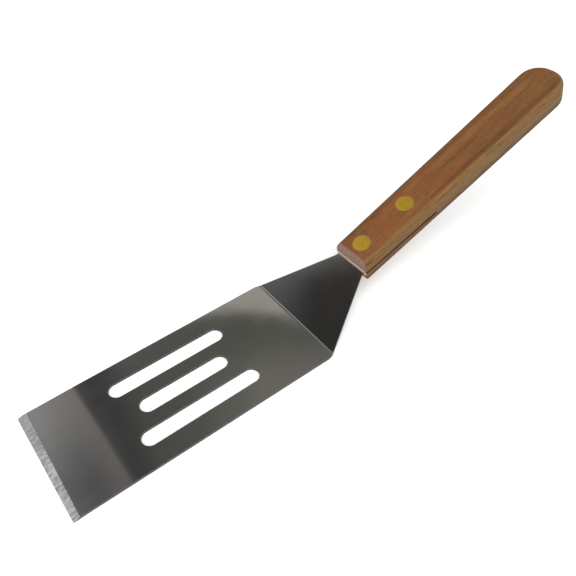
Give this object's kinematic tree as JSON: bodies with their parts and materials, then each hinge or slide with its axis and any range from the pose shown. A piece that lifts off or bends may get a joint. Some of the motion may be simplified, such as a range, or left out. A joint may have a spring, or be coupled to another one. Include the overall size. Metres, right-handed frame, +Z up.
{
  "type": "grill spatula",
  "caption": "Slotted steel grill spatula with a bevelled front edge, an upswept neck and a riveted wooden handle.",
  "frame": {"origin": "on the resting plane, under the middle of the spatula's overall box", "axes": "+X from the cutting edge towards the butt of the handle, +Y across the blade, +Z up from the blade's underside"},
  "size_m": [0.2698, 0.052, 0.0677],
  "materials": {
    "polished_steel": "polished stainless sheet with a coarse-ground front bevel",
    "oiled_wood": "fine-grained reddish brown hardwood, sanded and oiled",
    "rivet_brass": "filed flush with the wood, satin"
  },
  "bodies": {
    "root": {"blade": "polished_steel", "handle": "oiled_wood", "front_rivet_socket": "rivet_brass", "front_rivet_pin": "rivet_brass", "rear_rivet_socket": "rivet_brass", "rear_rivet_pin": "rivet_brass"}
  },
  "joints": []
}
